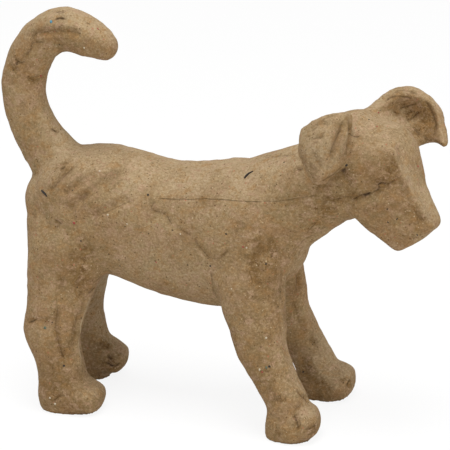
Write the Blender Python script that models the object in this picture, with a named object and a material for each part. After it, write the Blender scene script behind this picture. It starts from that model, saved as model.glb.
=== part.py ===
"""A papier-mache dog that stands on four paws, with its tail curled over its back and its head held low.

The dog is one piece: a moulded pulp form under a skin of kraft paper, so it is one closed solid.
Each limb is lofted through its own cross-sections and each ear is a bent flap. They are melted
into one body, the deepest folds are pressed into it, and the soles are cut flat on the floor.

Metres, +Z up, +X towards the nose, +Y to the dog's left. The origin is on the floor, under the
middle of the dog's box. The tables below are in millimetres, measured from a point a little below
the floor between the hind soles, and the finished dog is moved to its origin at the end.
"""

import math
from collections import namedtuple

import bmesh
import bpy
from mathutils import Matrix, Vector
from mathutils.geometry import intersect_point_line

MM = 0.001

# Stance: the steps between the soles, and how the left legs and paws differ from the right ones
STEP_LENGTH = 74.5
HIND_SOLES_APART = 29.6
FRONT_SOLES_APART = 36.2
LEFT_HIND_SET_BACK = 3.5
LEFT_HIND_PAW_LIFT = 2.2
LEFT_HIND_PAW_REACH = 0.8
LEFT_FRONT_SET_BACK = 1.1
LEFT_FRONT_PAW_REACH = 2.7
FLOOR_HEIGHT = 1.7
NOSE_DOWN_DEGREES = 1

# Head: where its middle is, how far it is turned to the dog's right, and how far it is dipped
HEAD_ALONG = 92.5
HEAD_ASIDE = -2
HEAD_HEIGHT = 90
HEAD_TURN_DEGREES = 12
HEAD_DIP_DEGREES = 40

EAR_THICKNESS = 4.2

# The neck ends this far behind and below the head's middle
NECK_BEHIND_HEAD = 3.5
NECK_BELOW_HEAD = 6

# Kraft paper and pulp
KRAFT_COLOUR = (0.33, 0.22, 0.12, 1)
KRAFT_ROUGHNESS = 0.92

# How finely the limbs are lofted and melted together
RING_POINTS = 28
SPAN_STEPS = 5
FLAP_STEPS = 12
VOXEL = 0.9
SOFTENING = 0.5
SOFTENING_STEPS = 6
KEPT_SHARE = 0.1

# A limb's end swells out by this share of its half thickness; the nose is nearly flat
LIMB_END = 0.6
NOSE_END = 0.15
END_ANGLES = (20, 40, 60, 80)

# A cross-section: how far forward, how far to the dog's left and how high its middle is, its full
# width from side to side, its full depth across the limb, how square it is (2 is an ellipse), and
# by what share of its width it narrows towards its top
Section = namedtuple("Section", "along aside height wide deep square taper", defaults=(2.2, 0))

TORSO = [
    Section(-9, 0, 64, 26, 26, 2.4),
    Section(-2, 0, 65.5, 32, 36.5, 2.4),
    Section(8, 0, 65, 34, 40.5, 2.5),
    Section(16, 0, 64.2, 33.5, 40.5, 2.5),
    Section(23, 0, 62.5, 32.5, 41, 2.5),
    Section(30, 0, 61, 32, 42.5, 2.5),
    Section(42, 0, 60.5, 33, 45, 2.5),
    Section(54, 0, 61.5, 35, 47, 2.5),
    Section(63, 0, 63.5, 33, 44, 2.4),
    Section(68, 0, 63.5, 26.5, 32.5, 2.3),
]

NECK = [
    Section(56, 0, 67.5, 31, 34),
    Section(66, 0, 72.4, 28, 32.5),
    Section(74, -0.5, 77, 26.5, 29.5),
    Section(82, -1, 81.4, 25.5, 27),
    Section(HEAD_ALONG - NECK_BEHIND_HEAD, HEAD_ASIDE, HEAD_HEIGHT - NECK_BELOW_HEAD, 24, 26),
]

TAIL = [
    Section(-2, 0, 72, 16, 18),
    Section(-8.5, 0, 80, 14.5, 17.5),
    Section(-14, 0, 87.5, 13.5, 15),
    Section(-17.8, 0, 96.6, 13, 14),
    Section(-18, 0, 107, 13, 14),
    Section(-13.4, 0, 117, 13, 14.2),
    Section(-5.3, 0, 122.3, 13, 13.8),
    Section(1.8, 0, 121, 12.5, 12.8),
    Section(7.2, 0, 118.8, 10.5, 11),
    Section(10.2, 0, 117, 8, 8.4),
]

# A leg's sections are measured from the middle of its sole, and aside is away from the other leg
HIND_LEG = [
    Section(-1.2, -7, 64, 14, 28),
    Section(-0.6, -5, 54, 18, 27),
    Section(-2.3, -2.5, 43, 16.5, 22.5, 2.3),
    Section(-3.5, -1, 35, 15.5, 19.5, 2.3),
    Section(-4.5, 0, 27.5, 15, 18.5, 2.3),
    Section(-3, 0, 20, 14.5, 15.5, 2.3),
    Section(-1.5, 0, 12, 15, 15.5, 2.4),
    Section(-0.8, 0, 5.5, 15, 17, 2.4),
    Section(-0.8, 0, 1, 11.5, 14.5, 2.4),
    Section(-0.8, 0, -2, 9, 12, 2.4),
]
HIND_PAW = [
    Section(-2.5, 0, 7, 14, 11.5, 2.3),
    Section(4, 0, 6.6, 15.5, 12.2, 2.4),
    Section(9.6, 0, 5.7, 14, 8.2, 2.4),
]
FRONT_LEG = [
    Section(-17, -10.5, 62, 16, 24),
    Section(-14.8, -7.6, 51, 17.5, 22, 2.3),
    Section(-12.2, -4.8, 40, 16, 19, 2.3),
    Section(-9.7, -3, 31, 15, 16.2, 2.3),
    Section(-5, -1.2, 22, 14, 13.4, 2.3),
    Section(-0.6, -0.2, 14, 14.5, 12.6, 2.3),
    Section(0, 0, 6.5, 15, 14, 2.4),
    Section(0, 0, 1.5, 11.5, 12.5, 2.4),
    Section(0, 0, -2, 9, 10, 2.4),
]
FRONT_PAW = [
    Section(-2.5, 0, 7.5, 14.5, 12, 2.3),
    Section(2, 0, 7.8, 16.5, 13.5, 2.3),
    Section(6.8, 0, 8.4, 15, 10.2, 2.3),
]

# The head is measured from its own middle, straight ahead along the muzzle
HEAD = [
    Section(-9, 0, 1, 22, 20),
    Section(-3, 0.4, 0.2, 26, 26.4, 2.4, 0.03),
    Section(4, 1.6, 0, 26.5, 29.2, 2.8, 0.02),
    Section(10, 0.8, -0.8, 24.5, 25.6, 3.2, 0.13),
    Section(16, 0.3, -1.9, 19, 21.4, 4, 0.2),
    Section(21, 0, -2.2, 15.5, 18.8, 4.5, 0.21),
    Section(26.2, 0, -2.9, 13.6, 16.9, 4.5, 0.18),
    Section(29.4, 0, -3.5, 12.4, 15.4, 4.5, 0.15),
]

# The ears are bent flaps, given as rows of points from the root to the edge, over the head's middle
RIGHT_EAR = [
    [(-2.5, -7, 16.2), (-2.5, -10, 10.4), (-2.9, -11, 5.4), (-4, -11, 1)],
    [(-4.1, -12.5, 17.8), (-4.9, -16.5, 11.5), (-5.5, -18, 5.5), (-5.9, -16.5, -1.4)],
    [(-9.4, -14.5, 15.3), (-9.9, -17.5, 10.6), (-10.1, -18.5, 5), (-8, -17.5, -3.8)],
    [(-14.2, -13.5, 11.5), (-14.8, -15, 8.6), (-14.3, -16, 4.6), (-10.9, -16, -2)],
]
LEFT_EAR = [
    [(-4.5, 4, 11.5), (3.5, 9, 8), (10.5, 10, 4.5), (14, 9, 1.5)],
    [(2.2, 11, 15.4), (7.6, 17.7, 12), (13.9, 17.3, 7), (17.6, 13.5, 3.2)],
    [(7.6, 13, 18.6), (13.1, 16.5, 17.8), (20, 16.5, 12.8), (23.8, 12, 1.9)],
]

# A fold is a line pressed into the paper while it was wet: its points, and its width and depth
Fold = namedtuple("Fold", "points width depth")

# The head's folds are measured from its middle, as the ears are
HEAD_FOLDS = [
    # Under the right eye, round the end of the cheek
    Fold([(-1.5, -12.5, -11.5), (3.5, -13, -8.4), (8.5, -12.6, -6.6), (12.5, -11, -3)], 1.6, 0.9),
    # Down the right ear, where its front is turned in
    Fold([(-2.9, -17, 14), (-3, -18, 7), (-4.7, -19, 1.5)], 1.7, 0.9),
]
BODY_FOLDS = [
    # Across the back of the right hock
    Fold([(-12, -15, 30), (-8.5, -20.5, 31.8), (-3, -21.8, 32.3)], 1.5, 0.6),
    # Down the right thigh
    Fold([(1, -20.2, 46), (2.2, -20.4, 32), (2.6, -20.5, 20)], 2.6, 0.7),
    # Between the chest and the left front leg
    Fold([(69, 8, 36), (71.5, 9.5, 46), (76, 5, 56)], 2, 0.9),
    # Over the rump towards the back
    Fold([(3, -17, 69), (11.8, -13.4, 79.4), (17.8, -7, 83.5)], 2.2, 0.5),
    Fold([(8, -17, 66), (16.2, -14.9, 75.7), (23.4, -9, 81.2)], 2.2, 0.5),
]
# A fold fades out at this many of its widths from its line
FOLD_FADES_AT = 3


def spline(before, start, end, after, share):
    """The Catmull-Rom blend of four numbers, share of the way from start to end."""
    pull = (end - before) * share
    bend = (2 * before - 5 * start + 4 * end - after) * share**2
    twist = (3 * start - before - 3 * end + after) * share**3
    return start + (pull + bend + twist) / 2


def smoothed(stations, steps):
    """The stations with more of them in between, on a smooth curve through them all."""
    found = []
    for i in range(len(stations) - 1):
        last = min(i + 2, len(stations) - 1)
        four = [stations[max(i - 1, 0)], stations[i], stations[i + 1], stations[last]]
        for step in range(steps):
            found.append([spline(*numbers, step / steps) for numbers in zip(*four)])
    found.append(list(stations[-1]))
    return found


def ring_at(bm, middle, side, up, half_wide, half_deep, square, taper):
    """One ring of a limb, from an ellipse to nearly a rectangle."""
    verts = []
    for i in range(RING_POINTS):
        turn = 2 * math.pi * i / RING_POINTS
        u = math.copysign(abs(math.cos(turn)) ** (2 / square), math.cos(turn))
        v = math.copysign(abs(math.sin(turn)) ** (2 / square), math.sin(turn))
        verts.append(bm.verts.new(middle + side * u * half_wide * (1 - taper * v) + up * v * half_deep))
    return [bm.edges.new((verts[i - 1], verts[i])) for i in range(RING_POINTS)]


def end_rings(bm, pose, roundness):
    """The rings that close a limb past its first or last section, the widest first."""
    middle, ahead, side, up, half_wide, half_deep, square, taper = pose
    reach = min(half_wide, half_deep) * roundness
    rings = []
    for degrees in END_ANGLES:
        share = math.cos(math.radians(degrees))
        at = middle + ahead * reach * math.sin(math.radians(degrees))
        rings.append(ring_at(bm, at, side, up, half_wide * share, half_deep * share, square, taper))
    return rings


def add_limb(bm, sections, end_roundness=LIMB_END):
    """A closed limb through the sections, with rounded ends."""
    stations = [Section(*numbers) for numbers in smoothed(sections, SPAN_STEPS)]
    middles = [Vector((s.along, s.aside, s.height)) for s in stations]
    poses = []
    for i, s in enumerate(stations):
        ahead = (middles[min(i + 1, len(middles) - 1)] - middles[max(i - 1, 0)]).normalized()
        side = (Vector((0, 1, 0)) - ahead * ahead.y).normalized()
        sizes = (s.wide / 2, s.deep / 2, s.square, s.taper)
        poses.append((middles[i], ahead, side, ahead.cross(side), *sizes))
    body = [ring_at(bm, middle, side, up, *sizes) for middle, _, side, up, *sizes in poses]
    start = end_rings(bm, poses[0], -LIMB_END)
    hoops = start[::-1] + body + end_rings(bm, poses[-1], end_roundness)
    for first, second in zip(hoops, hoops[1:]):
        bmesh.ops.bridge_loops(bm, edges=first + second)
    bmesh.ops.edgeloop_fill(bm, edges=hoops[0])
    bmesh.ops.edgeloop_fill(bm, edges=hoops[-1])


def head_middle():
    return Vector((HEAD_ALONG, HEAD_ASIDE, HEAD_HEIGHT))


def add_flap(bm, rows, thickness):
    """A bent flap through a grid of points over the head's middle, as thick as the ear."""
    lines = [smoothed(row, FLAP_STEPS) for row in rows]
    grid = [smoothed(column, FLAP_STEPS) for column in zip(*lines)]
    verts = [[bm.verts.new(head_middle() + Vector(point)) for point in column] for column in grid]
    faces = []
    for left, right in zip(verts, verts[1:]):
        for i in range(len(left) - 1):
            faces.append(bm.faces.new((left[i], left[i + 1], right[i + 1], right[i])))
    bmesh.ops.recalc_face_normals(bm, faces=faces)
    for vert in (v for column in verts for v in column):
        vert.normal_update()
    for vert in (v for column in verts for v in column):
        vert.co = vert.co + vert.normal * thickness / 2
    bmesh.ops.solidify(bm, geom=faces, thickness=thickness)


def leg_of(sections, along, aside, side):
    """A leg's sections moved over its sole, on the dog's left (1) or right (-1)."""
    return [s._replace(along=s.along + along, aside=side * (aside + s.aside)) for s in sections]


def add_legs(bm):
    left_hind_paw = [s._replace(height=s.height + LEFT_HIND_PAW_LIFT) for s in HIND_PAW]
    for right, left, reach in ((HIND_LEG, HIND_LEG, 0), (HIND_PAW, left_hind_paw, LEFT_HIND_PAW_REACH)):
        add_limb(bm, leg_of(right, 0, HIND_SOLES_APART / 2, -1))
        add_limb(bm, leg_of(left, reach - LEFT_HIND_SET_BACK, HIND_SOLES_APART / 2, 1))
    left_along = STEP_LENGTH - LEFT_FRONT_SET_BACK
    for sections, reach in ((FRONT_LEG, 0), (FRONT_PAW, LEFT_FRONT_PAW_REACH)):
        add_limb(bm, leg_of(sections, STEP_LENGTH, FRONT_SOLES_APART / 2, -1))
        add_limb(bm, leg_of(sections, left_along + reach, FRONT_SOLES_APART / 2, 1))


def add_head(bm):
    head = bmesh.new()
    add_limb(head, HEAD, NOSE_END)
    pose = (
        Matrix.Translation(head_middle())
        @ Matrix.Rotation(-math.radians(HEAD_TURN_DEGREES), 4, "Z")
        @ Matrix.Rotation(math.radians(HEAD_DIP_DEGREES), 4, "Y")
    )
    bmesh.ops.transform(head, matrix=pose, verts=head.verts)
    mesh = bpy.data.meshes.new("head")
    head.to_mesh(mesh)
    head.free()
    bm.from_mesh(mesh)
    bpy.data.meshes.remove(mesh)


def limbs_mesh():
    """All the limbs, each closed in itself, still overlapping."""
    bm = bmesh.new()
    add_limb(bm, TORSO)
    add_limb(bm, NECK)
    add_limb(bm, TAIL)
    add_legs(bm)
    add_head(bm)
    add_flap(bm, RIGHT_EAR, EAR_THICKNESS)
    add_flap(bm, LEFT_EAR, EAR_THICKNESS)
    bmesh.ops.recalc_face_normals(bm, faces=bm.faces)
    mesh = bpy.data.meshes.new("limbs")
    bm.to_mesh(mesh)
    bm.free()
    return mesh


def distance_to(line, point):
    """How far the point is from the line through the given points."""
    nearest = math.inf
    for start, end in zip(line, line[1:]):
        on_line, share = intersect_point_line(point, start, end)
        if share <= 0:
            on_line = start
        elif share >= 1:
            on_line = end
        nearest = min(nearest, (point - on_line).length)
    return nearest


def press_folds(mesh):
    """The folds pressed into the melted body."""
    bm = bmesh.new()
    bm.from_mesh(mesh)
    bm.normal_update()
    on_head = [fold._replace(points=[head_middle() + Vector(p) for p in fold.points]) for fold in HEAD_FOLDS]
    for fold in on_head + BODY_FOLDS:
        line = [Vector(point) for point in fold.points]
        pressed = []
        for vert in bm.verts:
            away = distance_to(line, vert.co) / fold.width
            if away < FOLD_FADES_AT:
                pressed.append((vert, vert.normal * fold.depth * math.exp(-away * away)))
        for vert, push in pressed:
            vert.co = vert.co - push
    bm.to_mesh(mesh)
    bm.free()


def with_modifiers(mesh, modifiers):
    """The mesh after the modifiers, each a type and its settings."""
    holder = bpy.data.objects.new("holder", mesh)
    bpy.context.scene.collection.objects.link(holder)
    for kind, settings in modifiers:
        modifier = holder.modifiers.new(kind.lower(), kind)
        for name, value in settings.items():
            setattr(modifier, name, value)
    seen = holder.evaluated_get(bpy.context.evaluated_depsgraph_get())
    result = bpy.data.meshes.new_from_object(seen)
    bpy.data.objects.remove(holder)
    return result


def finish(mesh):
    """The soles cut flat on the floor, and the dog moved over its origin and brought to metres."""
    bm = bmesh.new()
    bm.from_mesh(mesh)
    rock = Matrix.Rotation(math.radians(NOSE_DOWN_DEGREES), 3, "Y")
    bmesh.ops.rotate(bm, cent=(0, 0, FLOOR_HEIGHT), matrix=rock, verts=bm.verts)
    everything = bm.verts[:] + bm.edges[:] + bm.faces[:]
    floor = Vector((0, 0, FLOOR_HEIGHT))
    bmesh.ops.bisect_plane(bm, geom=everything, plane_co=floor, plane_no=(0, 0, -1), clear_outer=True)
    rims = [e for e in bm.edges if e.is_boundary]
    bmesh.ops.holes_fill(bm, edges=rims, sides=0)
    along = [v.co.x for v in bm.verts]
    aside = [v.co.y for v in bm.verts]
    middle = Vector(((min(along) + max(along)) / 2, (min(aside) + max(aside)) / 2, FLOOR_HEIGHT))
    bmesh.ops.translate(bm, vec=-middle, verts=bm.verts)
    bmesh.ops.scale(bm, vec=(MM, MM, MM), verts=bm.verts)
    bmesh.ops.triangulate(bm, faces=bm.faces)
    bm.to_mesh(mesh)
    bm.free()
    return middle


def build():
    for old in list(bpy.data.objects):
        bpy.data.objects.remove(old)
    melt = ("REMESH", {"mode": "VOXEL", "voxel_size": VOXEL})
    soften = ("SMOOTH", {"factor": SOFTENING, "iterations": SOFTENING_STEPS})
    thin_out = ("DECIMATE", {"ratio": KEPT_SHARE})
    mesh = with_modifiers(limbs_mesh(), (melt, soften))
    press_folds(mesh)
    mesh = with_modifiers(mesh, (thin_out,))
    middle = finish(mesh)
    mesh.name = "papier_mache_dog"
    mesh.shade_smooth()
    kraft = bpy.data.materials.new("kraft_paper")
    kraft.use_nodes = True
    shader = kraft.node_tree.nodes["Principled BSDF"]
    shader.inputs["Base Color"].default_value = KRAFT_COLOUR
    shader.inputs["Roughness"].default_value = KRAFT_ROUGHNESS
    mesh.materials.clear()
    mesh.materials.append(kraft)
    dog = bpy.data.objects.new("papier_mache_dog", mesh)
    bpy.context.scene.collection.objects.link(dog)
    return middle


build()
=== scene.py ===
import math

import bmesh
import bpy
import numpy as np
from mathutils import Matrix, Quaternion, Vector, noise
from mathutils.bvhtree import BVHTree


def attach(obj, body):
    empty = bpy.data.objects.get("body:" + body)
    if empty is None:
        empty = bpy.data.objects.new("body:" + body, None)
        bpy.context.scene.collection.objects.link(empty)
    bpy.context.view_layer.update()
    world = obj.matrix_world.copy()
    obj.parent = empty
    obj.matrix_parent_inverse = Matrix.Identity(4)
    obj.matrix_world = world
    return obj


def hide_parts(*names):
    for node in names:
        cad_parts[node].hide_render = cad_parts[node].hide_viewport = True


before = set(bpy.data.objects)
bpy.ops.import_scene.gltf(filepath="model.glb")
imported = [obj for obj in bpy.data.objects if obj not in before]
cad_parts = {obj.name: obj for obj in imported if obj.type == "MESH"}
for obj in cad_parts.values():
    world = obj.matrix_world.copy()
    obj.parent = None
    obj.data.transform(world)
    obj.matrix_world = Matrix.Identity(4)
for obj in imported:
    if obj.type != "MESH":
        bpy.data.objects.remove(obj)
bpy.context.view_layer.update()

# The pulp form
# Wet paper pulp pressed into a two-part mould, dried and joined. It is the whole body of the dog,
# from the nose to the tip of the tail, and it shrank a little unevenly as it dried.

MM = 0.001
SAME_POINT = 0.01 * MM
PULP_GRID = 0.67 * MM
SOLE_FLAT = 0.35 * MM
LUMP_SIZES = (12 * MM, 5.5 * MM, 2.4 * MM)
LUMP_HEIGHTS = (0.42 * MM, 0.27 * MM, 0.13 * MM)
NOISE_STEP = (7.3, 3.1, 5.7)
NOISE_SEED = 3

# The torn edges and the lines of the folds wander the same way in each run
noise.seed_set(NOISE_SEED)

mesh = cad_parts["papier_mache_dog"].data.copy()
bm = bmesh.new()
bm.from_mesh(mesh)
bmesh.ops.remove_doubles(bm, verts=bm.verts, dist=SAME_POINT)
bmesh.ops.subdivide_edges(bm, edges=bm.edges, cuts=1, smooth=0.6, use_grid_fill=True)
bm.to_mesh(mesh)
bm.free()
skin = bpy.data.objects.new("kraft_skin", mesh)
bpy.context.scene.collection.objects.link(skin)
grid = skin.modifiers.new("grid", "REMESH")
grid.mode = "VOXEL"
grid.voxel_size = PULP_GRID
softening = skin.modifiers.new("softening", "SMOOTH")
softening.factor = 0.5
softening.iterations = 5
pulp = bpy.data.meshes.new_from_object(skin.evaluated_get(bpy.context.evaluated_depsgraph_get()))
pulp.name = "kraft_skin"
skin.modifiers.clear()
skin.data = pulp
bpy.data.meshes.remove(mesh)


def at_each_point(what):
    """The place or the normal of every point of the pulp, one row a point."""
    numbers = np.empty(len(pulp.vertices) * 3)
    pulp.vertices.foreach_get(what, numbers)
    return numbers.reshape(-1, 3)


def surface_of(mesh):
    """The mesh's surface as it is now, on which the nearest place to a point can be found."""
    return BVHTree.FromPolygons([v.co for v in mesh.vertices], [tuple(p.vertices) for p in mesh.polygons])


def uneven(size, seed):
    """Soft lumps of this size, about -1 to 1, for every point."""
    step = Vector([seed * along for along in NOISE_STEP])
    return np.array([noise.noise(Vector(p) / size + step) for p in points])


points = at_each_point("co")
normals = at_each_point("normal")
on_sole = points[:, 2] < SOLE_FLAT
form = surface_of(pulp)
raised = np.zeros(len(points))
for seed, (size, height) in enumerate(zip(LUMP_SIZES, LUMP_HEIGHTS), 1):
    raised += height * uneven(size, seed)

# The torn paper
# Small torn pieces of kraft paper are pasted all over the form and rubbed down. Each one lies a
# hair higher or lower than its neighbours and has taken a little more or less paste.

TORN_PIECE = 9 * MM
TORN_EDGE = 4 * MM
RAGGEDNESS = 0.22
PAPER_STEP = 0.08 * MM
SHUFFLE = 7.1

patch = np.empty(len(points))
for i, p in enumerate(points):
    ragged = noise.noise_vector(Vector(p) / TORN_EDGE) * RAGGEDNESS
    middle = noise.voronoi(Vector(p) / TORN_PIECE + ragged)[1][0]
    patch[i] = noise.cell(middle * SHUFFLE)
raised += PAPER_STEP * (patch - 0.5)

# Folds and wrinkles
# The wet paper buckled where it went into a hollow or round a limb: over the rump, on the ears,
# under the eye, at the hock and between the toes. Paste gathered in the folds and dried brown, and the
# folds are browned and lined further with painted shade; the ridges get painted highlights.

# A fold's line is made of short pieces and wanders a little
LINE_PIECE = 1.2 * MM
WANDER = 0.25 * MM
WANDER_LENGTH = 2.5 * MM

# How far a fold tells, and how its ends run out
FOLD_REACH = 6 * MM
END_TAPER = 1.6 * MM
LARGEST_TAPER = 0.3

# The lips that rise beside a groove, and its stain, in widths of the fold
LIP_OFFSET = 1.8
LIP_SHARE = 0.35
STAIN_WIDTH = 1.25

# A step across a fold sinks back over this length, and the line in it fades between these
STEP_LENGTH = 2.5 * MM
LINE_REACH = 1.3 * MM
LINE_FADE = 0.6 * MM
NO_LINE = 3.0

# For every point: how browned it is by stains and painted shade, how much paler by painted light, how
# far aside of a fold's line, in widths of the line, and how dark that line is, or how pale when under 0
stain_and_shade = np.zeros(len(points))
painted_lightening = np.zeros(len(points))
line_side = np.full(len(points), NO_LINE)
line_dark = np.zeros(len(points))


def eased(share):
    """The share from 0 to 1, with a soft start and end."""
    return share * share * (3 - 2 * share)


def skin_line(places):
    """A slightly wandering line on the skin, as a smooth curve through these places, in mm."""
    knots = [Vector(p) * MM for p in places]
    last = len(knots) - 1
    line = []
    for i in range(last):
        before, start, end, after = knots[max(i - 1, 0)], knots[i], knots[i + 1], knots[min(i + 2, last)]
        steps = max(2, round((end - start).length / LINE_PIECE))
        for k in range(steps + (i == last - 1)):
            t = k / steps
            at = (2 * start + (end - before) * t + (2 * before - 5 * start + 4 * end - after) * t * t
                  + (3 * start - before - 3 * end + after) * t ** 3) / 2
            at += noise.noise_vector(at / WANDER_LENGTH) * WANDER
            line.append(form.find_nearest(at)[0])
    return line


def beside(line, reach):
    """The points near the line, how far off each is, the same with its side as the sign, how far
    along each is as a share, and the line's length."""
    line = np.array(line)
    near = np.flatnonzero(((points > line.min(0) - reach) & (points < line.max(0) + reach)).all(1))
    runs = np.diff(line, axis=0)
    lengths = np.linalg.norm(runs, axis=1)
    starts = np.concatenate([[0], np.cumsum(lengths)])
    here = points[near]
    far = np.full(len(near), np.inf)
    side = np.zeros(len(near))
    along = np.zeros(len(near))
    for i, run in enumerate(runs):
        share = np.clip((here - line[i]) @ run / (run @ run), 0, 1)
        off = here - line[i] - share[:, None] * run
        gap = np.linalg.norm(off, axis=1)
        closer = gap < far
        far[closer] = gap[closer]
        hand = np.sign((off[closer] * np.cross(run, normals[near[closer]])).sum(1))
        side[closer] = hand * gap[closer]
        along[closer] = (starts[i] + share[closer] * lengths[i]) / starts[-1]
    return near, far, side, along, starts[-1]


def crease(places, width, depth, brown, line=0.0, step=0.0, line_width=0.28, side_shade_and_patch=0.0):
    """A fold with its lengths in mm: a groove of this width and depth, how brown it is and how dark
    the line in it, both dried paste and painted shade, a step up on its one side, and one side browner,
    the other when under 0: painted shade beside the folds, the saddle patch's own colour along its edges."""
    near, far, side, along, length = beside(skin_line(places), FOLD_REACH)
    taper = min(END_TAPER, LARGEST_TAPER * length)
    ends = eased(np.clip(np.minimum(along, 1 - along) * length / taper, 0, 1))
    wide = width * MM
    groove = np.exp(-((far / wide) ** 2))
    lips = np.exp(-(((far - LIP_OFFSET * wide) / wide) ** 2))
    raised[near] += ends * depth * MM * (LIP_SHARE * lips - groove)
    raised[near] += ends * step * MM * np.where(side > 0, np.exp(-side / STEP_LENGTH), 0)
    # A groove is browner, from dried paste and painted shade; a ridge is paler, a painted highlight
    fold_tone = ends * brown * np.exp(-((far / (STAIN_WIDTH * wide)) ** 2))
    if brown > 0:
        stain_and_shade[near] = np.maximum(stain_and_shade[near], fold_tone)
    else:
        painted_lightening[near] = np.maximum(painted_lightening[near], -fold_tone)
    if side_shade_and_patch:
        one_side = np.where(side * side_shade_and_patch > 0, 1 - far / FOLD_REACH, 0).clip(0)
        stain_and_shade[near] += ends * abs(side_shade_and_patch) * one_side
    strength = ends * line * np.clip((LINE_REACH - far) / LINE_FADE, 0, 1)
    stronger = abs(strength) > abs(line_dark[near])
    line_dark[near[stronger]] = strength[stronger]
    line_side[near[stronger]] = side[stronger] / (line_width * MM)


def ridge(places, width, height, highlight, highlight_line=0.0, line_width=0.28, side_shade_and_patch=0.0):
    """A fold turned outwards, lightened with a painted highlight, with a paler painted highlight line along
    it.
    """
    crease(places, width, -height, -highlight, -highlight_line, 0.0, line_width, side_shade_and_patch)


# Over the rump, slanting up towards the back
crease([(-52, -14, 71.5), (-49, -13.5, 75), (-46.5, -12, 78), (-44.5, -10.5, 80)],
       width=0.9, depth=0.7, brown=0.45, line=0.3)
crease([(-52, -11, 77.5), (-49.5, -9.5, 79.5), (-46.5, -9, 80.5)], width=0.8, depth=0.5, brown=0.6)
crease([(-49.5, -11, 78.5), (-47, -10.5, 79)], width=0.8, depth=0.3, brown=0.9, line=0.6, line_width=0.5)
crease([(-47.5, -15.5, 71), (-43.5, -15, 74), (-39.5, -14, 76.5), (-35.5, -12, 78.5)],
       width=1.4, depth=0.9, brown=0.42)
crease([(-42, -16, 70), (-37, -15, 74), (-33, -13, 77.5), (-29.5, -10, 79.5)],
       width=1.5, depth=0.9, brown=0.42)
crease([(-34, -14.5, 75), (-31.5, -12.5, 77.5), (-26.5, -9, 80)], width=1.2, depth=0.6, brown=0.4)
crease([(-37.5, -16.5, 65), (-33, -16.5, 68), (-28.5, -15.5, 70.5), (-24.5, -14.5, 72.5)],
       width=1.3, depth=0.8, brown=0.4)
crease([(-34, -16.5, 66.5), (-30, -16.5, 68.5), (-26.5, -15.5, 70.5), (-23, -15, 71.5)],
       width=0.6, depth=0.2, brown=0.4, line=0.35)
crease([(-45, -15.5, 67), (-41, -16, 70.5), (-38, -15.5, 72.5)], width=1.3, depth=0.6, brown=0.4)
crease([(-54, -15, 61), (-50.5, -16, 60.5), (-47, -16, 62.5)], width=1.1, depth=0.5, brown=0.4)
crease([(-58.5, -12.5, 62.5), (-56.5, -13.5, 63)], width=0.7, depth=0.2, brown=0.7)
crease([(-50.5, -15.5, 63.5), (-49, -16, 63), (-46.5, -16.5, 62)],
       width=0.7, depth=0.2, brown=0.7, line=0.5)

# Down the thigh to the hock, and across the hock
crease([(-39.5, -17, 57), (-39.5, -17, 50), (-40, -17.5, 43)], width=2.6, depth=0.35, brown=0.4)
crease([(-45.5, -17.5, 52.5), (-42, -17.5, 51), (-36, -17, 53.5)], width=1.5, depth=0.2, brown=0.35)
crease([(-47, -19.5, 47), (-47.5, -20, 41.5), (-47.5, -20.5, 36.5)], width=0.9, depth=0.4, brown=0.4)
crease([(-47.5, -20.5, 36.5), (-48.5, -21.5, 30.5), (-48, -21.5, 26.5), (-47, -21, 22), (-46, -20, 18)],
       width=0.9, depth=0.6, brown=0.65, line=0.35)
crease([(-41.5, -18.5, 45.5), (-41, -18, 41.5), (-41, -17, 37.5)], width=1.6, depth=0.5, brown=0.5)
crease([(-58.5, -20, 29.5), (-56.5, -21, 30.5), (-54.5, -21.5, 32)],
       width=0.7, depth=0.5, brown=0.6, line=0.8)
crease([(-54.5, -21.5, 32), (-51.5, -21.5, 31.5), (-50, -21.5, 32.5)], width=0.9, depth=0.35, brown=0.4)
crease([(-39.5, -16, 39.5), (-38.5, -14.5, 40.5), (-37.5, -13, 41)],
       width=0.7, depth=0.4, brown=0.6, line=0.7, line_width=0.4)
ridge([(-39, -14.5, 39), (-40.5, -15, 35), (-41.5, -15.5, 32), (-42.5, -16, 28.5), (-43, -15.5, 25)],
      width=0.8, height=0.5, highlight=0.8, highlight_line=0.5, line_width=0.3)
ridge([(-43, -15.5, 25), (-43.5, -16, 21.5), (-43, -15.5, 18), (-42.5, -16.5, 14.5)],
      width=0.8, height=0.5, highlight=0.8, highlight_line=0.35, line_width=0.3)
crease([(-41.5, -17.5, 34), (-43, -17.5, 28), (-44, -17.5, 21)], width=1.3, depth=0.4, brown=0.4)

# Round the paws
crease([(-50.5, -22, 4.5), (-47.5, -22.5, 6.5), (-45.5, -22, 7)], width=0.7, depth=0.3, brown=0.4, line=0.5)
ridge([(-44.5, -21, 9.5), (-41.5, -19.5, 10), (-39, -17.5, 8.5)], width=0.9, height=0.35, highlight=0.4)
crease([(-43, 8.5, 10), (-41, 8.5, 8)], width=0.9, depth=0.8, brown=1.0, line=1.0, line_width=0.7)
crease([(-43.5, 7.5, 8), (-41, 8, 6), (-39, 10, 6.5)],
       width=0.9, depth=0.6, brown=1.0, line=0.9, line_width=0.6)
ridge([(-40, 11, 9.5), (-38.5, 12.5, 7)], width=0.9, height=0.5, highlight=0.9)
crease([(-46.5, 10.5, 14), (-45, 11, 12), (-42.5, 10.5, 11)], width=0.9, depth=0.5, brown=0.7, line=0.35)
ridge([(-46, 11.5, 15), (-43.5, 11.5, 13.5), (-41.5, 11, 11.5)], width=0.8, height=0.5, highlight=0.8)
crease([(24, -24.5, 16), (25, -25, 13.5)], width=0.6, depth=0.4, brown=0.4, line=0.35)
crease([(26, -24, 16.5), (26.5, -25, 13)], width=0.6, depth=0.45, brown=0.4, line=0.4)
crease([(28, -24, 15.5), (27.5, -24.5, 14)], width=0.6, depth=0.4, brown=0.4, line=0.35)
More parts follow.
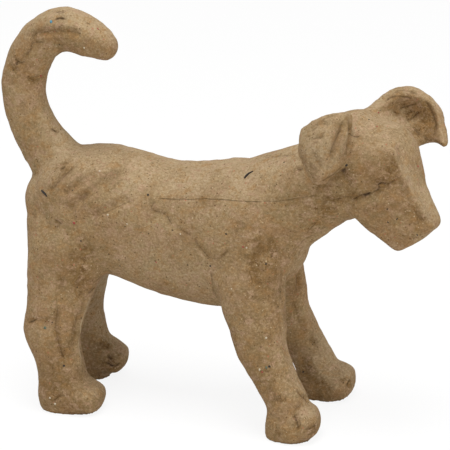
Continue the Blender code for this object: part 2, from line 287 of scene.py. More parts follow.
crease([(30, -20, 17), (31.5, -19.5, 14.5), (32.5, -17.5, 12.5), (34, -17, 10)],
       width=0.7, depth=0.5, brown=0.5, line=0.4)
ridge([(28, -16.5, 21.5), (30, -18.5, 17.5), (32, -17, 13)], width=0.6, height=0.3, highlight=0.7, highlight_line=0.3)
crease([(32, -19.5, 13), (30.5, -23.5, 11), (30, -24, 10.5)], width=0.7, depth=0.3, brown=0.35, line=0.2)
crease([(30, -24, 10.5), (31, -24.5, 9), (32, -25.5, 6.5), (32, -26, 5)],
       width=0.8, depth=0.8, brown=0.6, line=0.55)
crease([(33.5, -25.5, 5.5), (35.5, -23.5, 5.5), (36.5, -19, 5)], width=0.7, depth=0.5, brown=0.5, line=0.4)
crease([(34, -25, 3.5), (35.5, -22.5, 3.5), (37, -19, 3.5)], width=0.7, depth=0.4, brown=0.5, line=0.3)
crease([(24, -25, 3.5), (27, -26, 4), (29.5, -26, 5)], width=0.9, depth=0.3, brown=0.35)
crease([(37.5, 17, 7), (37.5, 14, 6), (37, 12.5, 5)],
       width=0.9, depth=0.8, brown=0.8, line=0.6, line_width=0.5)
crease([(35, 12.5, 8.5), (36, 11.5, 7)], width=1.1, depth=0.3, brown=0.7)
ridge([(33, 11, 7), (34.5, 10.5, 5)], width=0.9, height=0.6, highlight=0.9)
ridge([(25, 11.5, 17), (28, 11.5, 10), (31, 10.5, 7.5), (33.5, 10.5, 4)],
      width=1.8, height=0.4, highlight=0.8, side_shade_and_patch=0.5)
crease([(25.5, 11, 2), (29.5, 10.5, 1.5), (33, 11, 2.5)], width=1.3, depth=0.2, brown=0.6)
crease([(20.5, 8, 35), (22, 9.5, 28.5), (24, 10.5, 22)], width=1.0, depth=0.4, brown=0.5)
crease([(25, 11, 21.5), (28, 13, 18.5)], width=0.9, depth=0.5, brown=0.6, line=0.3)
ridge([(26, 13, 22), (28.5, 14.5, 19)], width=0.9, height=0.5, highlight=0.8)
ridge([(23.5, -14.5, 45), (24, -15, 38.5), (24.5, -15, 32), (27, -15, 22.5), (29, -16.5, 18)],
      width=0.7, height=0.25, highlight=0.5)

# Round the tail
crease([(-60, -6, 118), (-58, -6, 120), (-54.5, -6.5, 121), (-49, -6.5, 121.5), (-44.5, -6, 121.5),
        (-42, -6, 120.5)], width=1.0, depth=0.7, brown=0.55, line=0.25, side_shade_and_patch=0.3)
crease([(-62, -6.5, 112), (-59.5, -6.5, 115), (-59, -6.5, 117), (-57.5, -6.5, 117.5), (-54.5, -6.5, 117.5)],
       width=0.7, depth=0.45, brown=0.5, line=0.35)
crease([(-66, -5.5, 111.5), (-64, -6.5, 111), (-62.5, -6.5, 110.5), (-61.5, -6.5, 111.5)],
       width=0.7, depth=0.5, brown=0.6, line=0.6)
crease([(-65, -6, 110.5), (-64, -6.5, 109.5)], width=0.6, depth=0.3, brown=0.8, line=0.9, line_width=0.4)
crease([(-68, -5, 109), (-65, -6.5, 108.5), (-63, -6.5, 108.5)], width=1.0, depth=0.45, brown=0.6)
crease([(-61.5, -6, 106), (-59.5, -5, 105), (-58, -3, 104.5)], width=0.9, depth=0.45, brown=0.6)
crease([(-52, -3.5, 126.5), (-50.5, -3, 127), (-48.5, -3, 126.5)],
       width=0.6, depth=0.3, brown=0.5, line=0.8, line_width=0.35)
crease([(-51.5, -5.5, 124.5), (-51, -5.5, 125), (-49.5, -5, 125.5), (-47.5, -5, 125)],
       width=0.7, depth=0.4, brown=0.5, line=0.9, line_width=0.4)
crease([(-50, -6.5, 122), (-49, -6, 123)], width=0.6, depth=0.2, brown=0.5, line=0.5)
crease([(-42, -3.5, 124.5), (-40, -3, 123.5)], width=0.6, depth=0.2, brown=0.4, line=0.5)
crease([(-55, -4, 89), (-54, -3, 88.5), (-52.5, -2.5, 87.5)],
       width=0.7, depth=0.35, brown=0.7, line=0.8, line_width=0.4)
crease([(-65, -6.5, 92.5), (-63.5, -6.5, 95), (-63, -6.5, 99)], width=1.4, depth=0.4, brown=0.35)
crease([(-62, -6.5, 88), (-59, -6.5, 92), (-57.5, -6, 98)], width=1.2, depth=0.3, brown=0.25)

# On the near ear, whose front is folded in
crease([(44.5, -16.5, 102.5), (43.5, -18, 99), (42.5, -20, 95.5), (41.5, -21.5, 92)],
       width=0.9, depth=0.6, brown=0.4, line=0.4, line_width=0.3)
ridge([(45, -15.5, 100), (44.5, -17, 96.5), (43.5, -19, 92.5), (42, -20.5, 89)],
      width=1.2, height=0.45, highlight=0.8)
crease([(45.5, -14, 102), (45.5, -14, 99), (45.5, -15, 94.5), (44.5, -15, 90.5)],
       width=0.9, depth=0.5, brown=0.3, line=0.15, line_width=0.3)
crease([(32, -20.5, 93), (33, -21, 89.5), (35, -21.5, 86.5), (38, -21.5, 84)],
       width=1.2, depth=0.25, brown=0.35, line=0.12)
crease([(38, -21.5, 84), (40.5, -21, 85), (42.5, -18.5, 86.5), (44, -15.5, 88)],
       width=1.0, depth=0.7, brown=0.6, line=0.3, line_width=0.4)
crease([(35, -20, 100), (38, -19.5, 102), (41, -19.5, 101.5)], width=0.8, depth=0.5, brown=0.45, line=0.25)
crease([(34.5, -21.5, 97), (38, -21.5, 98), (40, -21, 100)], width=0.7, depth=0.4, brown=0.4, line=0.3)
crease([(36, -22.5, 95), (37.5, -23, 91.5), (39, -22.5, 89)], width=0.9, depth=0.4, brown=0.35)
crease([(38, -22, 97.5), (39.5, -21.5, 99)], width=0.6, depth=0.25, brown=0.4, line=0.5)
crease([(35, -20.5, 99.5), (37.5, -20.5, 101.5)], width=0.6, depth=0.25, brown=0.3, line=0.45)
crease([(35.5, -22, 96), (38.5, -22, 97)], width=0.7, depth=0.2, brown=0.35, line=0.25)
crease([(34, -22, 90), (36, -22.5, 88.5), (38.5, -22.5, 88)], width=0.9, depth=0.3, brown=0.4)
crease([(36.5, -20.5, 103), (40, -19, 104.5), (43, -16.5, 105)],
       width=0.8, depth=0.35, brown=0.35, line=0.2)
crease([(43, -14, 85), (43.5, -14.5, 86), (44.5, -15, 87.5)],
       width=0.9, depth=0.4, brown=1.0, line=0.9, line_width=0.9)
crease([(45, -14.5, 98), (48.5, -10.5, 96.5)], width=0.6, depth=0.3, brown=0.4, line=0.7)
crease([(45.5, -14, 99.5), (46, -13, 98.5)], width=0.6, depth=0.3, brown=0.6, line=0.7)
crease([(28, -11, 84), (30, -13.5, 86)], width=0.7, depth=0.25, brown=0.5, line=0.5)

# In the hollow of the far ear
crease([(55.5, 12.5, 97), (57, 14, 97.5), (58, 14.5, 98.5)], width=0.7, depth=0.3, brown=0.5, line=0.4)
crease([(56.5, 11.5, 96), (58.5, 14, 96.5), (60, 14.5, 98.5)], width=0.7, depth=0.3, brown=0.5, line=0.5)
crease([(54, 12.5, 100), (56, 13.5, 100.5)], width=0.7, depth=0.25, brown=0.5, line=0.35)
crease([(50, 8.5, 102), (53, 10, 103.5), (55, 11, 103.5), (58, 13, 102)],
       width=0.7, depth=0.3, brown=0.5, line=0.45)
crease([(52.5, 10.5, 98.5), (54.5, 12, 97.5)], width=0.7, depth=0.25, brown=0.6, line=0.4)
crease([(60, 12, 93.5), (62, 11, 91.5)], width=1.2, depth=0.3, brown=0.8, line=0.3)
crease([(61.5, 13.5, 102.5), (63.5, 13, 98.5), (65, 11.5, 94.5), (65, 10.5, 91)],
       width=0.9, depth=0.5, brown=0.6, line=0.4, line_width=0.4, side_shade_and_patch=0.6)
crease([(58.5, 11.5, 94), (61.5, 10.5, 92), (63.5, 11, 89.5)],
       width=1.2, depth=0.4, brown=0.8, line=0.5, line_width=0.6)
crease([(52, 9.5, 105.5), (56.5, 11.5, 106), (60.5, 13, 104)], width=0.7, depth=0.35, brown=0.5, line=0.4)
crease([(54.5, 11.5, 99), (57, 13.5, 99.5), (59.5, 14, 101)], width=0.6, depth=0.35, brown=0.5, line=0.5)

# Under the eye, and along the edge of the muzzle
crease([(45.5, -13, 76.5), (48.5, -13.5, 78.5), (50, -13.5, 79)],
       width=0.8, depth=0.35, brown=0.4, line=0.6)
crease([(48.5, -13.5, 78.5), (50.5, -13.5, 79), (52.5, -13.5, 79.5)],
       width=0.7, depth=0.45, brown=0.6, line=1.0, step=0.1, line_width=0.6)
crease([(52, -13.5, 79.5), (54, -13.5, 80.5), (55, -13.5, 82)], width=0.7, depth=0.4, brown=0.5, line=0.6)
crease([(53.5, -14, 82), (55.5, -14, 83), (57, -13, 82.5)],
       width=0.8, depth=0.45, brown=1.0, line=0.9, line_width=0.45)
crease([(57, -13.5, 85.5), (58.5, -12.5, 87), (58, -11.5, 90)], width=0.9, depth=0.35, brown=0.6)
crease([(36, -13.5, 77), (40.5, -13.5, 76.5), (45.5, -13.5, 78), (49, -13.5, 78)],
       width=1.1, depth=0.45, brown=0.5, line=0.25)
crease([(35.5, -13.5, 74), (38, -12.5, 73), (41.5, -12, 73)], width=1.0, depth=0.4, brown=0.7)
crease([(33.5, -13.5, 81), (36.5, -13.5, 80.5), (40, -13.5, 82)], width=1.2, depth=0.4, brown=0.6)
crease([(56.5, -13, 82.5), (58, -12.5, 83), (59.5, -12.5, 84)], width=0.7, depth=0.25, brown=0.4, line=0.4)
# The muzzle's edge: a painted highlight line, painted shade on the cheek side, then painted light over the
# muzzle's top
ridge([(57.5, -10, 93), (59, -11, 89), (61.5, -11, 84), (64, -10.5, 79), (66.5, -11, 75), (69, -11, 71.5)],
      width=1.3, height=0.9, highlight=0, highlight_line=0.15, line_width=0.5, side_shade_and_patch=0.55)
ridge([(60, -9.5, 90), (62.5, -9.5, 84.5), (65, -9, 80), (67.5, -9.5, 75.5), (69.5, -9.5, 72)],
      width=1.2, height=0, highlight=1.0)
crease([(58, -9, 93), (59, -7.5, 92)], width=0.7, depth=0.2, brown=0.5, line=0.3)
crease([(33.5, -13.5, 74.5), (37, -13.5, 72.5), (41, -13, 73)], width=1.1, depth=0.3, brown=0.4)
crease([(40.5, -13.5, 75.5), (43, -13, 75.5), (45.5, -13, 76.5)], width=1.0, depth=0.25, brown=0.3)

# At the throat, the shoulder and the chest
crease([(31, -11.5, 64), (33.5, -12, 66.5), (35.5, -12, 69.5)], width=0.9, depth=0.3, brown=0.4, line=0.4)
crease([(27.5, -9.5, 54.5), (30.5, -10.5, 59), (33.5, -9.5, 62.5)],
       width=0.9, depth=0.25, brown=0.35, line=0.2)
crease([(16, -16.5, 59.5), (16.5, -17.5, 53.5), (18, -18.5, 48.5)], width=1.6, depth=0.35, brown=0.4)
crease([(22, 9.5, 37), (22, 9.5, 40.5), (23, 9, 44)], width=0.9, depth=0.7, brown=0.9, line=0.5)
ridge([(25.5, -8, 51.5), (24, -10, 47), (24, -11.5, 43.5), (24, -14.5, 40)],
      width=1.1, height=0.5, highlight=0.8)
crease([(20, -14, 63.5), (21, -13, 59), (22, -13, 55)], width=1.2, depth=0.4, brown=0.4)
crease([(17, -16, 63), (18, -15.5, 59.5), (19.5, -15.5, 55.5)], width=1.0, depth=0.35, brown=0.35)
crease([(30, -7, 60), (31.5, -6, 60), (32.5, -4, 60)], width=0.8, depth=0.4, brown=0.7, line=0.5)
crease([(1.5, -16.5, 51.5), (2, -16, 47), (1.5, -13.5, 42)], width=0.6, depth=0.3, brown=0.25, line=0.35)
crease([(9, -16.5, 68), (11.5, -16.5, 67), (13.5, -16.5, 65)], width=0.8, depth=0.35, brown=0.35)
crease([(14.5, -2, 85), (20, -4.5, 86.5), (26.5, -6.5, 88)], width=0.8, depth=0.25, brown=0.3, line=0.3)

# The long strip and the saddle patch
# A long torn strip is pasted along the back and down to the middle of each side, over the patch
# on the shoulder. Its lower edge stands up and dried with a fine dark line.

crease([(-16.5, -14, 72.5), (-9.5, -13.5, 72.5), (-2, -14, 73.5), (4.5, -14.5, 74), (11, -14.5, 74),
        (18, -13.5, 74)], width=0.6, depth=0.1, brown=0.2, line=0.6, step=0.25, line_width=0.22, side_shade_and_patch=0.25)
crease([(17.5, -13.5, 74), (25, -13.5, 75), (32.5, -13.5, 77), (36, -13.5, 77.5)],
       width=0.6, depth=0.1, brown=0.2, line=0.35, step=0.15)
crease([(-16.5, -14, 72), (-18, -15, 69), (-13.5, -15, 68), (-10.5, -16, 64.5)],
       width=0.6, depth=0.25, brown=0.25, line=0.35, step=-0.3, line_width=0.2, side_shade_and_patch=-0.25)
crease([(-10.5, -16, 64.5), (-6, -16, 63), (-4, -16.5, 62)],
       width=0.6, depth=0.25, brown=0.2, line=0.25, step=-0.25, line_width=0.2, side_shade_and_patch=-0.25)
crease([(-4, -16.5, 62), (-2, -17, 59), (1.5, -17, 56), (5, -17.5, 56), (8, -17.5, 59.5)],
       width=0.7, depth=0.25, brown=0.25, line=0.25, step=-0.25, line_width=0.2, side_shade_and_patch=-0.25)

# Paste stains, painted shade and painted light
# Thin paste ran down into the hollows and dried browner there, and the hollows, the far legs and the
# skull are browned further with painted shade. The high parts, the belly, the far legs and the near
# ear are made paler with painted light. The paws and the lowest parts are browner towards the bottom.
# Each place has its size in mm and strength.

# Browned places: paste stains, and painted shade in hollows, on the far legs and over the skull
STAINS_AND_PAINTED_SHADE = {
    "rump, thigh and hock": (
        ((-52, -14, 70), 5, 0.2), ((-47, -12, 78), 5, 0.35), ((-40, -17, 49), 10, 0.42),
        ((-45, -18, 45), 12, 0.2), ((-57, -20, 31), 3, 0.4), ((-45, -20, 25), 5, 0.25),
    ),
    "near legs and paws": (
        ((-47, -21, 12), 10, 0.55), ((20, -20, 40), 13, 0.6), ((25, -23, 22), 8, 0.42),
        ((21, -23.5, 20), 5, 0.3), ((36, -24, 5), 4, 0.3),
    ),
    "far legs and paws": (
        ((-46, 8, 14), 5, 0.4), ((-42, 9, 7), 5, 0.45), ((22, 9, 38), 5, 0.5), ((26, 12, 8), 5, 0.4),
    ),
    "tail": (
        ((-62, -6.4, 110), 4, 0.45), ((-59, -5, 105), 3, 0.35), ((-38, -3, 116), 4, 0.4),
    ),
    "flank and shoulder": (
        ((-2, -16.5, 62), 8, 0.15), ((6, -17, 57), 6, 0.2), ((16, -16, 65), 7, 0.3),
        ((17, -17.5, 54), 6, 0.35),
    ),
    "throat, neck and chest": (
        ((38, -13, 72), 6, 0.4), ((33, -12, 70), 5, 0.35), ((30, -12, 78), 8, 0.2), ((24, -14, 55), 9, 0.4),
    ),
    "cheek, eye and muzzle": (
        ((47, -13.5, 80), 5, 0.35), ((48, -14, 82), 7, 0.25), ((55, -13, 84), 4, 0.5),
        ((58, -11, 88), 4, 0.35), ((64, -12.5, 74), 9, 0.25), ((68, -11, 69), 4, 0.25),
    ),
    "ears and skull": (
        ((33, -15, 88), 4, 0.35), ((44, -15, 85), 3.5, 0.5), ((51, -6, 98), 9, 0.3),
        ((57, 13, 97), 6, 0.35), ((62, 11, 93), 4.5, 0.7),
    ),
}
# Painted light: places made paler where the lamps leave them darker, the near ear, belly and chest, tail
# root and far legs
PAINTED_LIGHT_PLACES = {
    "near ear": (((37, -22, 94), 8, 0.95),),
    "belly and chest": (
        ((-5, -16, 50), 14, 0.5), ((-22, -15, 53), 12, 0.45), ((5, -16, 44), 9, 0.4),
        ((27, -5, 54), 7, 0.5),
    ),
    "root of the tail": (((-52, -7, 84), 8, 0.35), ((-60, -6, 95), 8, 0.2)),
    "far legs and paws": (((28, 16, 12), 8, 0.4), ((28, 12, 14), 6, 0.6), ((-45, 12, 30), 16, 1.0)),
}
LOW_BROWNING = 0.28
LOW_BROWNING_TOP = 22 * MM
LOW_BROWNING_BELOW = 1.2
TOP_LIGHT_START = 0.1
TOP_LIGHT_RANGE = 0.95


def around(place, size):
    """1 for the points at this place, falling softly to 0 past this size, both in mm."""
    gap = np.linalg.norm(points - np.array(place) * MM, axis=1) / (size * MM)
    return np.exp(-gap * gap)


for spots in STAINS_AND_PAINTED_SHADE.values():
    for place, size, strength in spots:
        stain_and_shade += strength * around(place, size)
for spots in PAINTED_LIGHT_PLACES.values():
    for place, size, strength in spots:
        painted_lightening = np.maximum(painted_lightening, strength * around(place, size))
# Browner towards the bottom, over the paws and the lowest parts
stain_and_shade += LOW_BROWNING * np.clip(LOW_BROWNING_BELOW - points[:, 2] / LOW_BROWNING_TOP, 0, 1)
stain_and_shade = np.clip(stain_and_shade, 0, 1)

# Painted light: what faces up is paler, as the lamp above lights it, and so are the painted light places
# and ridges
painted_light = eased(np.clip((normals[:, 2] + TOP_LIGHT_START) / TOP_LIGHT_RANGE, 0, 1))
painted_light = np.clip(painted_light + painted_lightening, 0, 1)

# The soles stay flat on the table
raised[on_sole] = 0
points += normals * raised[:, None]
points[on_sole, 2] = 0
points[:, 2] = np.maximum(points[:, 2], 0)
pulp.vertices.foreach_set("co", points.ravel())
for name, values in (
    ("stain_and_shade", stain_and_shade),
    ("painted_light", painted_light),
    ("patch", patch),
    ("line_side", line_side),
    ("line_dark", line_dark),
):
    layer = pulp.attributes.new(name, "FLOAT", "POINT")
    layer.data.foreach_set("value", values.astype(np.float32))
pulp.update()
pulp.shade_smooth()

# The kraft paper
# Brown unbleached paper and pulp, dry and uncoated: a matt mottled tan, with short fibres, specks
# of bark and ink ground into the pulp, and darker brown where paste dried. Painted shade browns it
# further in the hollows and folds, and painted light makes the tops and ridges paler.

TAN = (0.375, 0.258, 0.13, 1)
REDDER = (0.345, 0.215, 0.108, 1)
OLIVE = (0.255, 0.19, 0.088, 1)
PALE = (0.458, 0.355, 0.22, 1)
BROWN = (0.185, 0.104, 0.034, 1)
ORANGE = (0.36, 0.2, 0.075, 1)
PINK = (0.44, 0.29, 0.18, 1)
DARK_LINE = (0.045, 0.024, 0.01, 1)
WRINKLE_BROWN = (0.13, 0.068, 0.022, 1)
GRAIN_SHADE = (0.6, 0.55, 0.48, 1)
PATCH_SHADE = (0.88, 0.86, 0.82, 1)

# Specks ground into the pulp: the cells' size in mm, the specks' radius as a share of it, the
# share of the cells that have none, and the colour
GROUND_IN = {
    "bark": (1.1, 0.19, 0.62, (0.1, 0.052, 0.02, 1)),
    "ink": (2.6, 0.1, 0.72, (0.02, 0.014, 0.01, 1)),
    "chaff": (1.3, 0.15, 0.8, (0.48, 0.37, 0.23, 1)),
    "white paper": (5.3, 0.05, 0.8, (0.55, 0.46, 0.33, 1)),
    "red thread": (1.7, 0.14, 0.7, (0.36, 0.13, 0.07, 1)),
}
SMALLEST = 0.5
LARGEST = 1.4
SPECK_EDGE = 0.05
CHOICE_EDGE = 0.02
SPECK_SHARE = 0.8

kraft = bpy.data.materials.new("kraft_paper")
kraft.use_nodes = True
nodes = kraft.node_tree.nodes
links = kraft.node_tree.links
shader = nodes["Principled BSDF"]
shader.inputs["Roughness"].default_value = 0.95
shader.inputs["Specular IOR Level"].default_value = 0.25
coordinates = nodes.new("ShaderNodeTexCoord")
in_mm = nodes.new("ShaderNodeMapping")
in_mm.inputs["Scale"].default_value = (1 / MM, 1 / MM, 1 / MM)
links.new(coordinates.outputs["Object"], in_mm.inputs["Vector"])


def cloud(size, detail, roughness, stretch=None, distortion=0.0, turn=(0.4, 0.7, 0.3)):
    """Noise with lumps of this size in mm, which can be stretched along a turned direction."""
    texture = nodes.new("ShaderNodeTexNoise")
    texture.inputs["Scale"].default_value = 1 / size
    texture.inputs["Detail"].default_value = detail
    texture.inputs["Roughness"].default_value = roughness
    texture.inputs["Distortion"].default_value = distortion
    source = in_mm
    if stretch:
        source = nodes.new("ShaderNodeMapping")
        source.inputs["Scale"].default_value = stretch
        source.inputs["Rotation"].default_value = turn
        links.new(in_mm.outputs["Vector"], source.inputs["Vector"])
    links.new(source.outputs["Vector"], texture.inputs["Vector"])
    return texture.outputs["Fac"]


def ramp(value, low, high, to_low=0.0, to_high=1.0):
    """The value spread from low-high to the other two numbers, clamped."""
    node = nodes.new("ShaderNodeMapRange")
    for name, number in (("From Min", low), ("From Max", high), ("To Min", to_low), ("To Max", to_high)):
        node.inputs[name].default_value = number
    links.new(value, node.inputs["Value"])
    return node.outputs["Result"]


def math_of(operation, first, second=0.0):
    """This operation on two values, each a number or another node's output."""
    node = nodes.new("ShaderNodeMath")
    node.operation = operation
    for socket, value in zip(node.inputs, (first, second)):
        if isinstance(value, (int, float)):
            socket.default_value = value
        else:
            links.new(value, socket)
    return node.outputs["Value"]


def blend(share, first, second, kind="MIX"):
    """The first colour with this share of the second, each a colour or another node's output."""
    node = nodes.new("ShaderNodeMix")
    node.data_type = "RGBA"
    node.blend_type = kind
    links.new(share, node.inputs[0])
    for i, colour in ((6, first), (7, second)):
        if isinstance(colour, tuple):
            node.inputs[i].default_value = colour
        else:
            links.new(colour, node.inputs[i])
    return node.outputs[2]


def painted(name):
    """A value that was worked out above for each point of the skin."""
    node = nodes.new("ShaderNodeAttribute")
    node.attribute_name = name
    return node.outputs["Fac"]


mottle = cloud(9, 3, 0.6)
grime = cloud(4, 4, 0.7)
blush = cloud(3.2, 4, 0.7, (1, 0.8, 1.2), 0.4)
grain = cloud(0.75, 3, 0.8)
pulp_fibres = cloud(1.1, 3, 0.6, (0.45, 2.2, 1.8), 0.6)
cross_fibres = cloud(1.0, 3, 0.6, (1.9, 0.45, 2.1), 0.6, (1.1, -0.4, 0.9))

# The mottled ground, paler on top with painted light, and brown where it is stained and where painted shade
# lies
colour = blend(ramp(mottle, 0.42, 0.58), REDDER, TAN)
colour = blend(ramp(grime, 0.48, 0.72, 0.0, 0.85), colour, OLIVE)
colour = blend(ramp(painted("painted_light"), 0.0, 1.0, 0.0, 0.7), colour, PALE)
stain_and_shade_amount = math_of("MULTIPLY", painted("stain_and_shade"), ramp(grime, 0.3, 0.65, 0.55, 1.35))
colour = blend(ramp(stain_and_shade_amount, 0.0, 1.1, 0.0, 0.85), colour, BROWN)
colour = blend(ramp(blush, 0.5, 0.68, 0.0, 0.65), colour, ORANGE)
colour = blend(ramp(blush, 0.34, 0.48, 0.8, 0.0), colour, PINK)

# The grain and the fibres of the pulp, and the torn pieces
colour = blend(ramp(grain, 0.34, 0.64, 0.9, 0.0), colour, GRAIN_SHADE, "MULTIPLY")
colour = blend(ramp(grain, 0.57, 0.74, 0.0, 0.5), colour, PALE)
for fibres in (pulp_fibres, cross_fibres):
    colour = blend(ramp(fibres, 0.6, 0.74, 0.0, 0.45), colour, PALE)
    colour = blend(ramp(fibres, 0.26, 0.42, 0.5, 0.0), colour, BROWN)
colour = blend(painted("patch"), colour, PATCH_SHADE, "MULTIPLY")

# The specks ground in
for cell, radius, chosen, ink in GROUND_IN.values():
    specks = nodes.new("ShaderNodeTexVoronoi")
    specks.inputs["Scale"].default_value = 1 / cell
    links.new(in_mm.outputs["Vector"], specks.inputs["Vector"])
    split = nodes.new("ShaderNodeSeparateColor")
    links.new(specks.outputs["Color"], split.inputs["Color"])
    size = ramp(split.outputs["Green"], 0.0, 1.0, SMALLEST * radius, LARGEST * radius)
    inside = ramp(math_of("SUBTRACT", size, specks.outputs["Distance"]), 0.0, SPECK_EDGE)
    picked = ramp(split.outputs["Red"], chosen, chosen + CHOICE_EDGE)
    share = math_of("MULTIPLY", math_of("MULTIPLY", inside, picked), SPECK_SHARE)
    colour = blend(share, colour, ink)

# Hair-fine wrinkles, most of them where the paper is browned by stains and painted shade
buckled = math_of("ABSOLUTE", math_of("SUBTRACT", cloud(3.4, 3, 0.62, None, 0.9), 0.5))
apart = ramp(cloud(2.1, 2, 0.6, (0.9, 1.1, 1)), 0.5, 0.56)
wrinkle = math_of("MULTIPLY", ramp(buckled, 0.012, 0.04, 1.0, 0.0), apart)
wrinkle = math_of("MULTIPLY", wrinkle, ramp(painted("stain_and_shade"), 0.3, 0.9, 0.12, 1.0))
colour = blend(ramp(wrinkle, 0.0, 1.0, 0.0, 0.9), colour, WRINKLE_BROWN)

# The lines in the folds, dried paste and painted shade, broken where they are dark, and the pale ones on
# the ridges, painted highlights
across = math_of("ABSOLUTE", painted("line_side"))
line = math_of("MULTIPLY", ramp(across, 0.25, 1.15, 1.0, 0.0), painted("line_dark"))
broken = math_of("MULTIPLY", line, ramp(cloud(1.6, 2, 0.6), 0.32, 0.55, 0.35, 1.0))
colour = blend(ramp(broken, 0.0, 1.0), colour, DARK_LINE)
colour = blend(ramp(line, -1.0, 0.0, 1.0, 0.0), colour, PALE)
links.new(colour, shader.inputs["Base Color"])

# The same grain, fibres, lines and wrinkles as a fine relief, in mm
height = math_of("ADD", math_of("MULTIPLY", grain, 0.16), math_of("MULTIPLY", pulp_fibres, 0.14))
height = math_of("SUBTRACT", height, math_of("MULTIPLY", line, 0.25))
height = math_of("SUBTRACT", height, math_of("MULTIPLY", wrinkle, 0.12))
relief = nodes.new("ShaderNodeBump")
relief.inputs["Strength"].default_value = 0.8
relief.inputs["Distance"].default_value = 1.0 * MM
links.new(height, relief.inputs["Height"])
links.new(relief.outputs["Normal"], shader.inputs["Normal"])

pulp.materials.clear()
pulp.materials.append(kraft)
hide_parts("papier_mache_dog")
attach(skin, "root")

# Specks and hairs
# Bits of bark, ink and thread from the waste paper, and two short hairs, dried into the skin. Only
# the larger ones are laid on one by one, flat in the surface.

SPECK_FLATNESS = 0.35
SPECK_ROUGHNESS = 0.85
TURN_PER_MM = 1.7

# Each kind has its colour and its specks: the place and the radius in mm, and how long for its width
SPECKS = {
    "dark_specks": ((0.02, 0.014, 0.01, 1), (
        (48.3, -2.3, 99.3, 0.3, 1), (44.6, -14.9, 88.2, 0.5, 1), (-46.3, -20.9, 16.6, 0.4, 1.1),
        (-19.2, -13.5, 73.2, 0.42, 1), (-44, -15.1, 73.6, 0.3, 1), (-40.7, -16.7, 57.4, 0.3, 1),
        (19.4, -15.9, 55, 0.35, 1), (1.7, -16.8, 53, 0.35, 1), (7.2, -17.2, 64, 0.28, 1.4),
        (-28.8, -14.4, 49.5, 0.28, 1), (59.7, -12.5, 71.8, 0.2, 2.6), (56.9, -12.5, 70.6, 0.24, 1.3),
        (65.9, -12.3, 67.2, 0.2, 2.4), (22.3, -23, 24.4, 0.45, 1), (22.9, 11.1, 9.7, 0.35, 1.2),
    )),
    "red_specks": ((0.3, 0.05, 0.04, 1), (
        (-57.5, -3.1, 105.9, 0.4, 1), (64.4, -3.3, 86.1, 0.35, 1.2), (-42.8, -16.7, 63.1, 0.4, 1.5),
        (20.1, -23.4, 22.5, 0.35, 1), (-38, -2.9, 122.2, 0.3, 1.2), (-16.5, -15.9, 52, 0.3, 1),
        (48.8, 6.3, 98.9, 0.3, 1), (51.4, -4.8, 97.8, 0.3, 1.2), (12.5, -17.2, 60.2, 0.35, 1),
    )),
    "pale_specks": ((0.5, 0.42, 0.3, 1), (
        (-41.8, -5.6, 116.5, 0.32, 1.2), (-31.4, -16.6, 66.6, 0.38, 1.2), (-25.4, -16.2, 64.1, 0.3, 1),
        (20.8, -21.1, 32.9, 0.38, 1.2), (-51, -22.2, 5.7, 0.4, 1), (-49.4, -22.2, 3.8, 0.45, 1.1),
        (56.2, 8.3, 93.8, 0.3, 1), (-35.6, -11.5, 78.6, 0.35, 1.2), (19.3, -23.5, 23.2, 0.35, 1.3),
        (-8, -16, 62.3, 0.28, 1.2), (13.5, -16.6, 60, 0.3, 1.3), (9.5, -18.6, 47, 0.25, 1),
    )),
    "green_speck": ((0.1, 0.12, 0.08, 1), ((-51.9, -21.8, 29.2, 0.55, 1), (21.4, -23, 24, 0.4, 1.2))),
    "blue_speck": ((0.09, 0.25, 0.33, 1), ((-52.4, -5.6, 124.2, 0.5, 1.2),)),
}

# One hair on the back and one on the rump, thickest in the middle, lying a little proud
HAIRS = (
    ((10.9, -9.4, 79.6), (11.2, -9, 80.5), (12, -8.5, 81.2), (13.2, -8, 81.7)),
    ((-54.9, -12.8, 71.6), (-54, -13.4, 71.2), (-53.2, -13.9, 70.8), (-52.5, -14.3, 70.2)),
)
HAIR_RADII = (0.24 * MM, 0.38 * MM, 0.32 * MM, 0.16 * MM)
HAIR_LIFT = 0.08 * MM
HAIR_SIDES = 6

dry_skin = surface_of(pulp)


def set_in(bm, place, size, long, turn):
    """A flat speck of this size in mm, pressed into the skin at the place."""
    at, out, _, _ = dry_skin.find_nearest(Vector(place) * MM)
    made = bmesh.ops.create_icosphere(bm, subdivisions=1, radius=size * MM)
    bmesh.ops.scale(bm, vec=(long, 1, SPECK_FLATNESS), verts=made["verts"])
    facing = out.to_track_quat("Z", "Y") @ Quaternion((0, 0, 1), turn)
    bmesh.ops.rotate(bm, cent=(0, 0, 0), matrix=facing.to_matrix(), verts=made["verts"])
    bmesh.ops.translate(bm, vec=at, verts=made["verts"])


def lay_hair(bm, places):
    """A hair along these places on the skin, as rings that are joined and closed at both ends."""
    path = [dry_skin.find_nearest(Vector(p) * MM) for p in places]
    last = len(path) - 1
    rings = []
    for i, (at, out, _, _) in enumerate(path):
        run = (path[min(i + 1, last)][0] - path[max(i - 1, 0)][0]).normalized()
        ring = bmesh.ops.create_circle(bm, segments=HAIR_SIDES, radius=HAIR_RADII[i])["verts"]
        bmesh.ops.rotate(bm, cent=(0, 0, 0), matrix=run.to_track_quat("Z", "Y").to_matrix(), verts=ring)
        bmesh.ops.translate(bm, vec=at + out * HAIR_LIFT, verts=ring)
        rings.append(list(dict.fromkeys(e for v in ring for e in v.link_edges)))
    for first, second in zip(rings, rings[1:]):
        bmesh.ops.bridge_loops(bm, edges=first + second)
    bmesh.ops.edgeloop_fill(bm, edges=rings[0])
    bmesh.ops.edgeloop_fill(bm, edges=rings[-1])


def piece_from(bm, name):
    """A new object at the origin that holds these faces."""
    mesh = bpy.data.meshes.new(name)
    bm.to_mesh(mesh)
    bm.free()
    piece = bpy.data.objects.new(name, mesh)
    bpy.context.scene.collection.objects.link(piece)
    return piece


